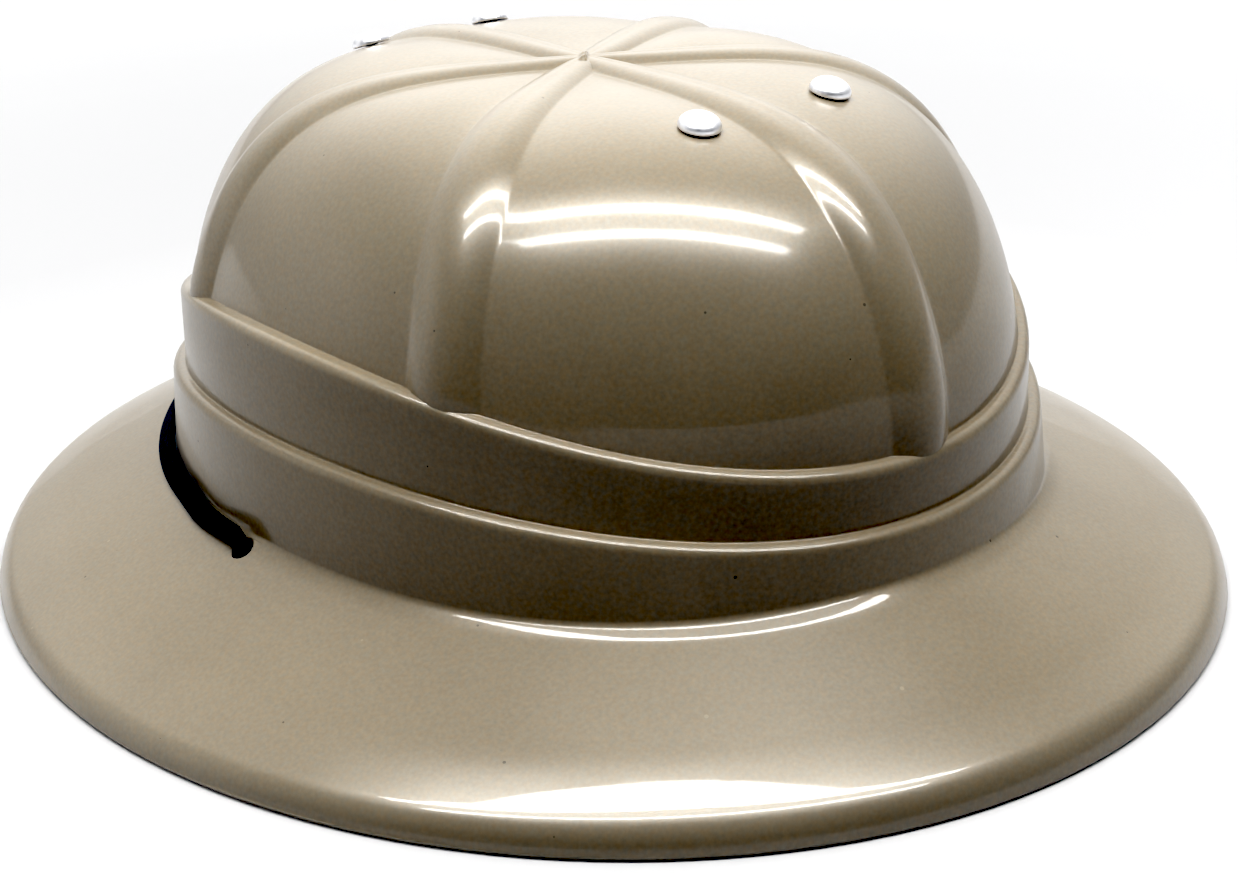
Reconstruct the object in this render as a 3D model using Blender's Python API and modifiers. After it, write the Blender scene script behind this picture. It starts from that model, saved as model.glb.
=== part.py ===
"""Moulded plastic pith helmet with domed rivets and an elastic chin strap.

Metres, +Z up. The helmet stands on the edge of its brim, its front at -Y and its wearer's right at -X.
The origin is on the floor under the middle of the helmet.
"""
import math

import bmesh
import bpy
from mathutils import Vector

MM = 0.001

# ---- driving dimensions ---------------------------------------------------------------------------
# Outer plan ellipses: half width along X and half length along Y.
PLAN = {
    "crown": (96.6 * MM, 112.9 * MM),
    "upper_band": (98.1 * MM, 116.3 * MM),
    "lower_band": (102.1 * MM, 119.8 * MM),
    "brim_root": (103.4 * MM, 121.2 * MM),
    "brim_edge": (152.0 * MM, 165.0 * MM),
}
# Heights that vary round the helmet: the mean, how far the sides lie above the front and back, and
# how far the quarters lie above the mean of those.
LEVELS = {
    "upper_ledge": (68.3 * MM, 10.7 * MM, 0.3 * MM),
    "lower_ledge": (49.2 * MM, 5.8 * MM, 0.2 * MM),
    "brim_root": (29.0 * MM, -0.9 * MM, -1.1 * MM),
}
WALL = 2.0 * MM
CROWN_SPRING = 60.5 * MM      # height where the crown starts to curve in
CROWN_TOP = 123.3 * MM        # top of the panels, below the ribs
CROWN_SQUARENESS = 4.8        # exponents of the crown's rounded outline, across and up
CROWN_ROUNDNESS = 1.57
PANEL_PILLOW = 1.9 * MM       # how far a panel swells between two ribs

FRONT_RIB = 58.5              # degrees from the front rib to the next on either side
BACK_RIB = 116.4
RIB_ANGLES = (0.0, FRONT_RIB, BACK_RIB, 180.0, 360.0 - BACK_RIB, 360.0 - FRONT_RIB)
RIB_FOOT_HEIGHT = 3.0 * MM
RIB_HUB_HEIGHT = 2.3 * MM
RIB_FOOT_HALF_WIDTH = 8.8 * MM
RIB_HUB_HALF_WIDTH = 4.6 * MM
RIB_SIDE = 4.0 * MM           # width of a rib's sloping side
RIB_FULL_WIDTH_FROM = 0.8     # share of the crown's radius where a rib reaches its full width

LEDGE_WIDTH = 3.4 * MM
LEDGE_EDGE = 1.4 * MM         # size of the rounding on a ledge's outer edge
# Where a rib fills a ledge: how far in from the band's face and up from the ledge, in edge sizes.
LEDGE_FILL = ((0.2, 1.6), (0.1, 0.6))
ROOT_FILLET = 0.6 * MM        # between the lower band and the brim
ROOT_RISE = 1.35 * MM         # above the root's level, where the brim's line would meet the band
ROOT_RING = 4.8 * MM          # width of a slightly steeper ring round the band
ROOT_RING_SLOPE = 0.25        # how much steeper it is
ROOT_HOLLOW = 0.4 * MM        # the fillet's hollow, below the ring's line
BEND_END = 10.5 * MM          # in from the edge, where the brim has taken its outer slope
BEND_WIDTH = 6.5 * MM         # stretch over which the slope changes
OUTER_SLOPE = math.radians(27.9)
LIP_SLOPE = math.radians(29.4)      # where the lip's round begins
LIP_RADIUS = (9.2 * MM, 1.2 * MM)   # the lip's rounding: mean, and how much larger at the front and back
LIP_CUT = 3.0 * MM            # spare depth below the floor line, trimmed flat
TRIM_SIZE = (500 * MM, 500 * MM, 20 * MM)

RIVETS = (
    # name, x, y
    ("rivet_front_left", -17.3 * MM, -60.2 * MM),
    ("rivet_front_right", 24.6 * MM, -58.3 * MM),
    ("rivet_back_left", -16.4 * MM, 68.5 * MM),
    ("rivet_back_right", 20.8 * MM, 66.5 * MM),
)
RIVET_HEAD_RADIUS = 5.0 * MM
RIVET_HEAD_HEIGHT = 2.6 * MM
RIVET_SHANK_RADIUS = 1.6 * MM
RIVET_TAIL_RADIUS = 3.0 * MM
RIVET_TAIL_HEIGHT = 1.0 * MM
RIVET_SEAT = 0.55 * MM        # between a rivet's head and the curved crown, at its middle
RIVET_HOLE_DEPTH = 12 * MM

STRAP_WIDTH = 6.0 * MM
STRAP_THICKNESS = 1.4 * MM
STRAP_CORE = (STRAP_WIDTH - STRAP_THICKNESS) / 2   # half the flat between its two round edges
STRAP_REST = 0.4 * MM         # between the strap and the faceted brim and wall
STRAP_LEAN = math.radians(45)      # its inner edge leans up the wall
STRAP_HOLE_RADIUS = 2.7 * MM
STRAP_HOLE_DEPTH = 20 * MM
STRAP_NECK = 0.65             # share of its width that the strap keeps inside the hole
STRAP_NECK_TOP = 0.5 * MM     # height above the hole where it starts to bend over
STRAP_START = math.radians(92.5)   # plan angle where the strap lies down beside its hole
STRAP_LEAD = 4                # rows over which it leans over
STRAP_HUMP = 0.5 * MM         # how high it stands where it leaves the hole
KNOT_RADIUS = 4.2 * MM
KNOT_FLATNESS = 0.75
KNOT_DROP = 6.6 * MM          # from the brim's upper face down to the knot's middle
GAP = 0.3 * MM                # between two pieces that touch

# ---- mesh density ---------------------------------------------------------------------------------
CROWN_ROWS = 12
PANEL_COLUMNS = 5             # columns inside each panel, between two ribs
BRIM_ROWS = 3
LIP_ROWS = 5
STRAP_ROWS = 36
NECK_ROWS = 3
RIVET_SIDES = 16
HUB_FREE = 0.9                # share of half a panel's angle that a rib may take near the hub


# ---- the shell's surface --------------------------------------------------------------------------
def plan_radius(name, angle):
    half_width, half_length = PLAN[name]
    return 1.0 / math.hypot(math.sin(angle) / half_width, math.cos(angle) / half_length)


def level(name, angle):
    mean, side_rise, quarter_rise = LEVELS[name]
    return mean - side_rise * math.cos(2 * angle) - quarter_rise * math.cos(4 * angle)


def smooth_step(x):
    x = min(max(x, 0.0), 1.0)
    return x * x * (3 - 2 * x)


def place(angle, radius, z):
    """A point at a plan angle counted from the front (-Y) by way of -X."""
    return Vector((-radius * math.sin(angle), -radius * math.cos(angle), z))


def crown_share_at(z):
    """Share of the crown's plan radius that its outline keeps at height z."""
    rise = min(max((z - CROWN_SPRING) / (CROWN_TOP - CROWN_SPRING), 0.0), 1.0)
    return (1 - rise ** CROWN_ROUNDNESS) ** (1 / CROWN_SQUARENESS)


def rib_half_width(share):
    growth = min(share / RIB_FULL_WIDTH_FROM, 1.0)
    return RIB_HUB_HALF_WIDTH + (RIB_FOOT_HALF_WIDTH - RIB_HUB_HALF_WIDTH) * growth


def rib_height(share):
    return RIB_HUB_HEIGHT + (RIB_FOOT_HEIGHT - RIB_HUB_HEIGHT) * share


def rib_bump(angle, share):
    """1 on top of a rib, 0 on a panel, and between them on the ribs' sloping sides."""
    radius = plan_radius("crown", angle) * share
    best = 0.0
    for degrees in RIB_ANGLES:
        turn = math.remainder(angle - math.radians(degrees), math.tau)
        if abs(turn) < math.pi / 2:
            offset = radius * abs(math.sin(turn))
            best = max(best, smooth_step((rib_half_width(share) - offset) / RIB_SIDE))
    return best


def pillow(angle, share):
    """How far the panel swells here: most in its middle, nothing at the ribs, the hub and the foot."""
    turns = sorted(abs(math.remainder(angle - math.radians(d), math.tau)) for d in RIB_ANGLES)
    across = turns[0] / (turns[0] + turns[1])
    return PANEL_PILLOW * math.sin(math.pi * across) * math.sin(math.pi * min(share, 1.0))


def crown_point(angle, share, foot_share):
    rise = (1 - share ** CROWN_SQUARENESS) ** (1 / CROWN_ROUNDNESS)
    height = CROWN_TOP - CROWN_SPRING
    radius = plan_radius("crown", angle)
    slope_out = CROWN_SQUARENESS * share ** (CROWN_SQUARENESS - 1) / radius
    slope_up = CROWN_ROUNDNESS * rise ** (CROWN_ROUNDNESS - 1) / height
    steepness = math.hypot(slope_out, slope_up)
    lift = rib_height(share) * rib_bump(angle, share) + pillow(angle, share / foot_share)
    return place(
        angle,
        radius * share + lift * slope_out / steepness,
        CROWN_SPRING + height * rise + lift * slope_up / steepness,
    )


def column_angle(column, share):
    """A column follows its rib at a fixed distance, or keeps its place between two ribs."""
    rib, offset, fraction = column
    here = math.radians(RIB_ANGLES[rib])
    gap = math.remainder(math.radians(RIB_ANGLES[(rib + 1) % len(RIB_ANGLES)]) - here, math.tau)
    half_width = rib_half_width(share)

    def edge(at, limit):
        radius = max(plan_radius("crown", at) * share, 1e-6)
        return math.asin(min(half_width / radius, math.sin(limit)))

    if fraction is None:
        before = math.remainder(here - math.radians(RIB_ANGLES[rib - 1]), math.tau)
        limit = HUB_FREE * (gap if offset > 0 else before) / 2
        inner = (half_width - RIB_SIDE) / half_width
        scale = {0: 0.0, 1: inner, 2: 1.0}[abs(offset)]
        return here + math.copysign(scale * edge(here, limit), offset)
    limit = HUB_FREE * gap / 2
    start = edge(here, limit)
    end = gap - edge(here + gap, limit)
    return here + start + (end - start) * fraction


def columns():
    """Every column of the shell: (rib, side step, None) on a rib or (rib, 0, fraction) on a panel."""
    result = []
    for rib in range(len(RIB_ANGLES)):
        result += [(rib, step, None) for step in (-2, -1, 0, 1, 2)]
        result += [(rib, 0, (i + 1) / (PANEL_COLUMNS + 1)) for i in range(PANEL_COLUMNS)]
    return result


def ledge_rows(angle, band, ledge, inner_radius, bump):
    """Inner corner and rounded outer edge of a ledge; a rib closes it flush with the band."""
    outer = plan_radius(band, angle)
    z = level(ledge, angle)

    def blend(a, b):
        return a + (b - a) * bump

    rows = [
        (blend(radius, outer - inset * LEDGE_EDGE), z + bump * rise * LEDGE_EDGE)
        for radius, (inset, rise) in zip((inner_radius, outer - LEDGE_EDGE), LEDGE_FILL)
    ]
    return rows + [(outer, z - LEDGE_EDGE)]


def brim_rows(angle):
    """Section of the brim from its root at the band over the slopes to the edge of its turned-down lip."""
    root, edge = plan_radius("brim_root", angle), plan_radius("brim_edge", angle)
    foot = level("brim_root", angle) + ROOT_RISE - ROOT_HOLLOW
    radius = LIP_RADIUS[0] + LIP_RADIUS[1] * math.cos(2 * angle)
    lip = (edge - radius * (1 - math.sin(LIP_SLOPE)), radius * math.cos(LIP_SLOPE))
    outer = math.tan(OUTER_SLOPE)
    bend = edge - BEND_END
    bend_z = lip[1] + (lip[0] - bend) * (outer + math.tan(LIP_SLOPE)) / 2
    half = BEND_WIDTH / 2
    ring_drop = ROOT_RING * ROOT_RING_SLOPE
    slope = (foot - ring_drop - bend_z - half * outer) / (bend - root - half)

    ring = (root + ROOT_RING, foot - ring_drop - slope * ROOT_RING)
    fillet = (root + ROOT_FILLET, foot - (slope + ROOT_RING_SLOPE) * ROOT_FILLET)
    start = (bend - BEND_WIDTH, bend_z + half * (outer + slope))
    rows = [(root, foot + ROOT_FILLET + ROOT_HOLLOW), fillet]
    rows += [
        (ring[0] + (start[0] - ring[0]) * i / BRIM_ROWS, ring[1] + (start[1] - ring[1]) * i / BRIM_ROWS)
        for i in range(BRIM_ROWS + 1)
    ]
    rows.append((bend, bend_z))
    for i in range(LIP_ROWS + 1):
        turn = LIP_SLOPE + (math.pi / 2 - LIP_SLOPE) * i / LIP_ROWS
        rows.append((edge - radius * (1 - math.sin(turn)), radius * math.cos(turn)))
    return rows


def skirt_rows(angle, foot_share):
    """Everything below the crown: both ledges and bands, the root, the brim and its lip."""
    bump = rib_bump(angle, foot_share)
    crown_foot = plan_radius("crown", angle) * foot_share
    rows = ledge_rows(angle, "upper_band", "upper_ledge", crown_foot, bump)
    lower_inner = plan_radius("lower_band", angle) - LEDGE_WIDTH
    rows += ledge_rows(angle, "lower_band", "lower_ledge", lower_inner, 0.0)
    rows += brim_rows(angle)
    rows.append((plan_radius("brim_edge", angle), -LIP_CUT))
    return rows


def shell_surface():
    """The outer face as an open mesh: one loft over the columns, closed at the hub."""
    mesh = bmesh.new()
    hub = mesh.verts.new((0, 0, CROWN_TOP + RIB_HUB_HEIGHT))
    strips = []
    for column in columns():
        foot_angle = column_angle(column, 1.0)
        foot_share = crown_share_at(level("upper_ledge", foot_angle))
        points = []
        for i in range(1, CROWN_ROWS):
            share = foot_share * math.sin(math.pi / 2 * i / CROWN_ROWS)
            points.append(crown_point(column_angle(column, share), share, foot_share))
        points += [place(foot_angle, radius, z) for radius, z in skirt_rows(foot_angle, foot_share)]
        strips.append([mesh.verts.new(point) for point in points])
    for left, right in zip(strips, strips[1:] + strips[:1]):
        mesh.faces.new((hub, left[0], right[0]))
        for i in range(len(left) - 1):
            mesh.faces.new((left[i], left[i + 1], right[i + 1], right[i]))
    bmesh.ops.recalc_face_normals(mesh, faces=mesh.faces)
    return mesh


def surface_frame(x, y):
    """Place and outward normal of the crown above a plan point."""
    def at(px, py):
        angle = math.atan2(-px, -py)
        foot_share = crown_share_at(level("upper_ledge", angle))
        share = math.hypot(px, py) / plan_radius("crown", angle)
        return crown_point(angle, share, foot_share)

    step = 2 * MM
    centre = at(x, y)
    normal = (at(x + step, y) - at(x - step, y)).cross(at(x, y + step) - at(x, y - step))
    return centre, normal.normalized()


# ---- Blender helpers ------------------------------------------------------------------------------
def material(name, colour, roughness, metallic=0.0):
    result = bpy.data.materials.new(name)
    result.use_nodes = True
    shader = result.node_tree.nodes["Principled BSDF"]
    shader.inputs["Base Color"].default_value = (*colour, 1.0)
    shader.inputs["Roughness"].default_value = roughness
    shader.inputs["Metallic"].default_value = metallic
    result.diffuse_color = (*colour, 1.0)
    return result


def add_object(name, data, collection, surface=None):
    result = bpy.data.objects.new(name, data)
    collection.objects.link(result)
    if surface:
        data.materials.append(surface)
    return result


def add_mesh(name, mesh, collection, surface=None):
    data = bpy.data.meshes.new(name)
    mesh.to_mesh(data)
    mesh.free()
    data.shade_smooth()
    data.set_sharp_from_angle(angle=math.radians(35))
    return add_object(name, data, collection, surface)


def cutter(name, mesh, cutters, target):
    tool = add_mesh(name, mesh, cutters)
    tool.hide_render = True
    tool.display_type = "WIRE"
    cut = target.modifiers.new(name, "BOOLEAN")
    cut.operation = "DIFFERENCE"
    cut.solver = "EXACT"
    cut.object = tool
    return tool


def cylinder(radius, depth, sides):
    mesh = bmesh.new()
    bmesh.ops.create_cone(mesh, cap_ends=True, segments=sides, radius1=radius, radius2=radius, depth=depth)
    return mesh


# ---- sub-parts ------------------------------------------------------------------------------------
def build_shell(collection, cutters, surface):
    shell = add_mesh("helmet_shell", shell_surface(), collection, surface)
    wall = shell.modifiers.new("wall", "SOLIDIFY")
    wall.thickness = WALL
    wall.offset = -1.0
    wall.use_even_offset = True

    slab = bmesh.new()
    bmesh.ops.create_cube(slab, size=1.0)
    bmesh.ops.scale(slab, vec=TRIM_SIZE, verts=slab.verts)
    bmesh.ops.translate(slab, vec=(0, 0, -TRIM_SIZE[2] / 2), verts=slab.verts)
    cutter("floor_cutter", slab, cutters, shell)

    for name, x, y in RIVETS:
        centre, normal = surface_frame(x, y)
        bore = cylinder(RIVET_SHANK_RADIUS + GAP, RIVET_HOLE_DEPTH, 12)
        hole = cutter(name + "_hole", bore, cutters, shell)
        hole.location = centre
        hole.rotation_euler = normal.to_track_quat("Z", "Y").to_euler()
    for side in (-1, 1):
        bore = cylinder(STRAP_HOLE_RADIUS, STRAP_HOLE_DEPTH, 16)
        hole = cutter(f"strap_hole_{side}", bore, cutters, shell)
        hole.location = strap_hole(side)
    return shell


def rivet_profile():
    """Right half of the rivet's section, down its outer side: dome, neck, shank and inner head."""
    dome = [
        (RIVET_HEAD_RADIUS * math.sin(a), RIVET_SEAT + RIVET_HEAD_HEIGHT * math.cos(a))
        for a in (math.radians(18 * i) for i in range(6))
    ]
    inner = -WALL - RIVET_SEAT
    return dome + [
        (RIVET_SHANK_RADIUS, RIVET_SEAT),
        (RIVET_SHANK_RADIUS, inner),
        (RIVET_TAIL_RADIUS, inner),
        (RIVET_TAIL_RADIUS, inner - RIVET_TAIL_HEIGHT),
        (0.0, inner - RIVET_TAIL_HEIGHT),
    ]


def build_rivets(collection, surface):
    profile = bmesh.new()
    points = [profile.verts.new((x, 0, z)) for x, z in rivet_profile()]
    for a, b in zip(points, points[1:]):
        profile.edges.new((a, b))
    data = bpy.data.meshes.new("rivet")
    profile.to_mesh(data)
    profile.free()
    data.materials.append(surface)
    for name, x, y in RIVETS:
        centre, normal = surface_frame(x, y)
        rivet = bpy.data.objects.new(name, data)
        collection.objects.link(rivet)
        rivet.location = centre
        rivet.rotation_euler = normal.to_track_quat("Z", "Y").to_euler()
        turn = rivet.modifiers.new("turn", "SCREW")
        turn.steps = turn.render_steps = RIVET_SIDES
        turn.use_merge_vertices = True
        turn.merge_threshold = 0.00001
        turn.use_smooth_shade = True


def brim_top(angle, radius):
    """Height of the brim's upper face."""
    rows = brim_rows(angle)
    for (near, near_z), (far, far_z) in zip(rows, rows[1:]):
        if radius <= far:
            return near_z + (far_z - near_z) * (radius - near) / (far - near)
    return 0.0


def strap_section(angle, tilt):
    """Radius and height of the strap's middle: its inner edge at the wall, its lower one on the brim."""
    reach = STRAP_CORE * math.cos(tilt)
    drop = STRAP_CORE * math.sin(tilt)
    skin = STRAP_THICKNESS / 2 + STRAP_REST
    radius = plan_radius("brim_root", angle) + skin + reach
    slope = math.atan2(brim_top(angle, radius) - brim_top(angle, radius + MM), MM)
    outer = brim_top(angle, radius + reach) + drop
    inner = brim_top(angle, radius - reach) - drop
    return radius, skin / math.cos(slope) + max(outer, inner)


def strap_hole(side):
    radius = strap_section(math.pi / 2, 0.0)[0]
    return Vector((side * radius, 0.0, brim_top(math.pi / 2, radius)))


def strap_route():
    """Points of the left half of the strap, from its knot to the back: (place, width, tilt)."""
    hole = strap_hole(-1)
    end = GAP - KNOT_DROP + KNOT_FLATNESS * KNOT_RADIUS
    half = []
    for i in range(NECK_ROWS):
        height = end + (STRAP_NECK_TOP - end) * i / (NECK_ROWS - 1)
        half.append((hole + Vector((0, 0, height)), STRAP_NECK, 0.0))
    for i in range(STRAP_ROWS + 1):
        angle = STRAP_START + (math.pi - STRAP_START) * i / STRAP_ROWS
        leaving = 1 - smooth_step(i / STRAP_LEAD)
        tilt = STRAP_LEAN * (1 - leaving)
        radius, height = strap_section(angle, tilt)
        point = place(angle, radius, height + STRAP_HUMP * leaving)
        half.append((point, 1 - (1 - STRAP_NECK) * leaving, tilt))
    return half


def build_strap(collection, surface):
    """A flat elastic from hole to hole round the back of the crown, resting on the brim."""
    half = strap_route()
    other = [
        (Vector((-point.x, point.y, point.z)), width, tilt) for point, width, tilt in reversed(half[:-1])
    ]
    route = half + other

    curve = bpy.data.curves.new("chin_strap", "CURVE")
    curve.dimensions = "3D"
    curve.twist_mode = "Z_UP"
    curve.bevel_depth = STRAP_THICKNESS / 2
    curve.extrude = STRAP_CORE
    curve.bevel_resolution = 1
    curve.use_fill_caps = True
    line = curve.splines.new("POLY")
    line.points.add(len(route) - 1)
    for point, (place_at, width, tilt) in zip(line.points, route):
        point.co = (*place_at, 1.0)
        point.radius = width
        point.tilt = math.pi / 2 - tilt
    return add_object("chin_strap", curve, collection, surface)


def build_knots(collection, surface):
    for side, name in ((-1, "strap_knot_left"), (1, "strap_knot_right")):
        hole = strap_hole(side)
        knot = bmesh.new()
        bmesh.ops.create_uvsphere(knot, u_segments=12, v_segments=8, radius=KNOT_RADIUS)
        bmesh.ops.scale(knot, vec=(1.0, 1.0, KNOT_FLATNESS), verts=knot.verts)
        item = add_mesh(name, knot, collection, surface)
        item.location = hole - Vector((0, 0, KNOT_DROP))


def clear_scene():
    for item in list(bpy.data.objects):
        bpy.data.objects.remove(item, do_unlink=True)


def main():
    clear_scene()
    scene = bpy.context.scene
    helmet = bpy.data.collections.new("pith_helmet")
    cutters = bpy.data.collections.new("cutters")
    scene.collection.children.link(helmet)
    scene.collection.children.link(cutters)
    plastic = material("khaki_plastic", (0.36, 0.32, 0.22), 0.18)
    steel = material("rivet_metal", (0.82, 0.83, 0.86), 0.12, 1.0)
    elastic = material("black_elastic", (0.012, 0.012, 0.013), 0.85)
    build_shell(helmet, cutters, plastic)
    build_rivets(helmet, steel)
    build_strap(helmet, elastic)
    build_knots(helmet, elastic)


main()
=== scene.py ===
"""Looks of the moulded plastic pith helmet: fine shell, domed rivets, woven elastic, light and camera.

Metres, +Z up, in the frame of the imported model. Plan angles count from the front (-Y) by way of -X.
"""
import math

import bmesh
import bpy
import numpy as np
from mathutils import Matrix, Vector


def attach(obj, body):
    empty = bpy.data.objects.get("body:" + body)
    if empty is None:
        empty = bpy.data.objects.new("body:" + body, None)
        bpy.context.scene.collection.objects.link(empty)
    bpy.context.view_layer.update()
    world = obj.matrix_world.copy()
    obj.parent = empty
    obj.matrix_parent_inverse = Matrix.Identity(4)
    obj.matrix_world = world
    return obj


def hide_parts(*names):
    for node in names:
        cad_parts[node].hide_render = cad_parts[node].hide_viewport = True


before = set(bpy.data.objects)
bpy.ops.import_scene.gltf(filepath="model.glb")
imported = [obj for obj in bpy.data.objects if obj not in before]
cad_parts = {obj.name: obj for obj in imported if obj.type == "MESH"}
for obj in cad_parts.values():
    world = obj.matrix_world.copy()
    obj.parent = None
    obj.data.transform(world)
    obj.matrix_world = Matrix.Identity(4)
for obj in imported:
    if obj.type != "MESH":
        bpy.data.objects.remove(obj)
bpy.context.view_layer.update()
MM = 0.001

# ---- main sizes of the shell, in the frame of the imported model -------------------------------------
PLAN = {   # half width and half length of each oval
    "crown": (96.6 * MM, 112.9 * MM),
    "upper_band": (98.1 * MM, 116.3 * MM),
    "lower_band": (102.1 * MM, 119.8 * MM),
    "brim_root": (103.4 * MM, 121.2 * MM),
    "brim_edge": (152.0 * MM, 165.0 * MM),
}
LEVELS = {   # mean height, and how much it rises at the sides and between
    "upper_ledge": (68.3 * MM, 10.7 * MM, 0.3 * MM),
    "lower_ledge": (49.2 * MM, 5.8 * MM, 0.2 * MM),
    "brim_root": (29.0 * MM, -0.9 * MM, -1.1 * MM),
}
WALL = 2.0 * MM
CROWN_SPRING = 60.5 * MM     # where the crown's outline starts to curve in
CROWN_TOP = 123.3 * MM
CROWN_SQUARENESS = 4.8
CROWN_ROUNDNESS = 1.57
PANEL_PILLOW = 1.9 * MM      # how far a panel swells between its ribs
FRONT_RIB = 58.5             # degrees from the front
BACK_RIB = 116.4
RIB_ANGLES = (0.0, FRONT_RIB, BACK_RIB, 180.0, 360.0 - BACK_RIB, 360.0 - FRONT_RIB)
RIB_FOOT_HEIGHT = 3.0 * MM
RIB_HUB_HEIGHT = 2.3 * MM
RIB_FOOT_HALF_WIDTH = 8.8 * MM
RIB_HUB_HALF_WIDTH = 4.6 * MM
RIB_FULL_WIDTH_FROM = 0.8    # share of the plan radius
LEDGE_WIDTH = 3.4 * MM
LEDGE_EDGE = 2.3 * MM        # rounding of a ledge's outer edge
ROOT_FILLET = 0.6 * MM
ROOT_RISE = 1.35 * MM        # above the root's level, where the brim's line would meet the band
ROOT_SAG = 0.5 * MM          # the hollow of the fillet, off the band
ROOT_TAIL = 0.42 * MM        # distance over which that hollow fades
ROOT_RING = 3.4 * MM         # a slightly steeper ring runs round the band, this wide
ROOT_RING_EASE = 0.35 * MM
ROOT_RING_SLOPE = 0.20
LIP_RADIUS = (9.2 * MM, 1.2 * MM)   # rounding of the lip: mean, and how much larger it is at the front
LIP_SLOPE = math.radians(29.4)      # where the lip's round begins
OUTER_SLOPE = math.radians(27.9)    # of the brim's outer stretch
BEND_END = 10.5 * MM         # inward from the brim's edge: its slope has changed by here
BEND_WIDTH = 6.5 * MM        # the stretch over which the slope changes

# ---- finer sizes of the shell ----------------------------------------------------------------------
RIB_ROUND = 2.15             # exponent of a rib's rounded section
RIB_FOOT_SOFTNESS = 0.10     # rounding of the crease at a rib's foot, as a share of its height
LEDGE_CORNER = 0.3 * MM      # rounding inside a ledge, at the wall above it
RIM_ROUND = 1.2 * MM         # rounding of the lip's lower edge, outside
INNER_RIM_ROUND = 0.5 * MM   # and inside
INNER_EDGE = 0.3 * MM        # least rounding of a ledge's edge on the inside

# ---- mesh density ----------------------------------------------------------------------------------
RIB_OFFSETS = (0.0, 0.14, 0.28, 0.41, 0.53, 0.64, 0.74, 0.83, 0.9, 0.955, 1.0, 1.045, 1.1)  # half widths
PANEL_COLUMNS = 17
CROWN_ROWS = 76
INNER_CROWN_ROWS = 34
HUB_CROWDING = 1.25          # rows lie closer together round the hub
HUB_FREE = 0.9               # share of the space between two ribs that their columns may fill at the hub
OUTER_STEPS, INNER_STEPS, RIM_STEPS = 7, 3, 5         # rows in each round of the section
OUTER_WALL = (0.06, 0.2, 0.4, 0.6, 0.8, 0.94)         # where rows lie on a band's wall
INNER_WALL = (0.3, 0.7)
WELD = 0.002 * MM


def smooth_step(x):
    x = min(max(x, 0.0), 1.0)
    return x * x * (3 - 2 * x)


def plan_radius(name, angle):
    half_width, half_length = PLAN[name]
    return 1.0 / math.hypot(math.sin(angle) / half_width, math.cos(angle) / half_length)


def level(name, angle):
    mean, side_rise, quarter_rise = LEVELS[name]
    return mean - side_rise * math.cos(2 * angle) - quarter_rise * math.cos(4 * angle)


def place(angle, radius, z):
    return Vector((-radius * math.sin(angle), -radius * math.cos(angle), z))


# ---- crown and ribs --------------------------------------------------------------------------------
def crown_share_at(z):
    rise = min(max((z - CROWN_SPRING) / (CROWN_TOP - CROWN_SPRING), 0.0), 1.0)
    return (1 - rise ** CROWN_ROUNDNESS) ** (1 / CROWN_SQUARENESS)


def rib_half_width(share):
    growth = min(share / RIB_FULL_WIDTH_FROM, 1.0)
    return RIB_HUB_HALF_WIDTH + (RIB_FOOT_HALF_WIDTH - RIB_HUB_HALF_WIDTH) * growth


def rib_height(share):
    return RIB_HUB_HEIGHT + (RIB_FOOT_HEIGHT - RIB_HUB_HEIGHT) * share


def rib_profile(offset, half_width):
    """Height of a rib at a distance from its middle, as a share: a round back between crisp creases."""
    across = offset / half_width
    raw = 1 - across ** RIB_ROUND if across < 1 else RIB_ROUND * (1 - across)
    return (raw + math.hypot(raw, RIB_FOOT_SOFTNESS)) / 2


def rib_bump(angle, share):
    radius = plan_radius("crown", angle) * share
    best = 0.0
    for degrees in RIB_ANGLES:
        turn = math.remainder(angle - math.radians(degrees), math.tau)
        if abs(turn) < math.pi / 2:
            offset = radius * abs(math.sin(turn))
            best = max(best, rib_profile(offset, rib_half_width(share)))
    return best


def pillow(angle, share):
    turns = sorted(abs(math.remainder(angle - math.radians(d), math.tau)) for d in RIB_ANGLES)
    across = turns[0] / (turns[0] + turns[1])
    return PANEL_PILLOW * math.sin(math.pi * across) * math.sin(math.pi * min(share, 1.0))


def crown_point(angle, share, foot_share, depth=0.0):
    """A point of the crown, depth below its outer face."""
    rise = (1 - share ** CROWN_SQUARENESS) ** (1 / CROWN_ROUNDNESS)
    height = CROWN_TOP - CROWN_SPRING
    radius = plan_radius("crown", angle)
    slope_out = CROWN_SQUARENESS * share ** (CROWN_SQUARENESS - 1) / radius
    slope_up = CROWN_ROUNDNESS * rise ** (CROWN_ROUNDNESS - 1) / height
    steepness = math.hypot(slope_out, slope_up)
    lift = rib_height(share) * rib_bump(angle, share) + pillow(angle, share / foot_share) - depth
    z = CROWN_SPRING + height * rise + lift * slope_up / steepness
    return radius * share + lift * slope_out / steepness, z


def arc_table(samples=400):
    """Share of the plan radius against distance along the crown's outline, from the hub."""
    shares = [math.sin(math.pi / 2 * i / samples) for i in range(samples + 1)]
    middle = sum(PLAN["crown"]) / 2
    points = []
    for share in shares:
        rise = (1 - share ** CROWN_SQUARENESS) ** (1 / CROWN_ROUNDNESS)
        points.append((middle * share, (CROWN_TOP - CROWN_SPRING) * rise))
    steps = [math.dist(a, b) for a, b in zip(points, points[1:])]
    return shares, [0.0, *np.cumsum(steps)]


ARC_SHARES, ARC_LENGTHS = arc_table()


def crown_shares(foot_share, rows):
    """Shares for rows spread evenly over the crown, closer together round the hub."""
    whole = np.interp(foot_share, ARC_SHARES, ARC_LENGTHS)
    steps = [(i / rows) ** HUB_CROWDING for i in range(1, rows)]
    return [float(np.interp(whole * step, ARC_LENGTHS, ARC_SHARES)) for step in steps]


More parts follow.
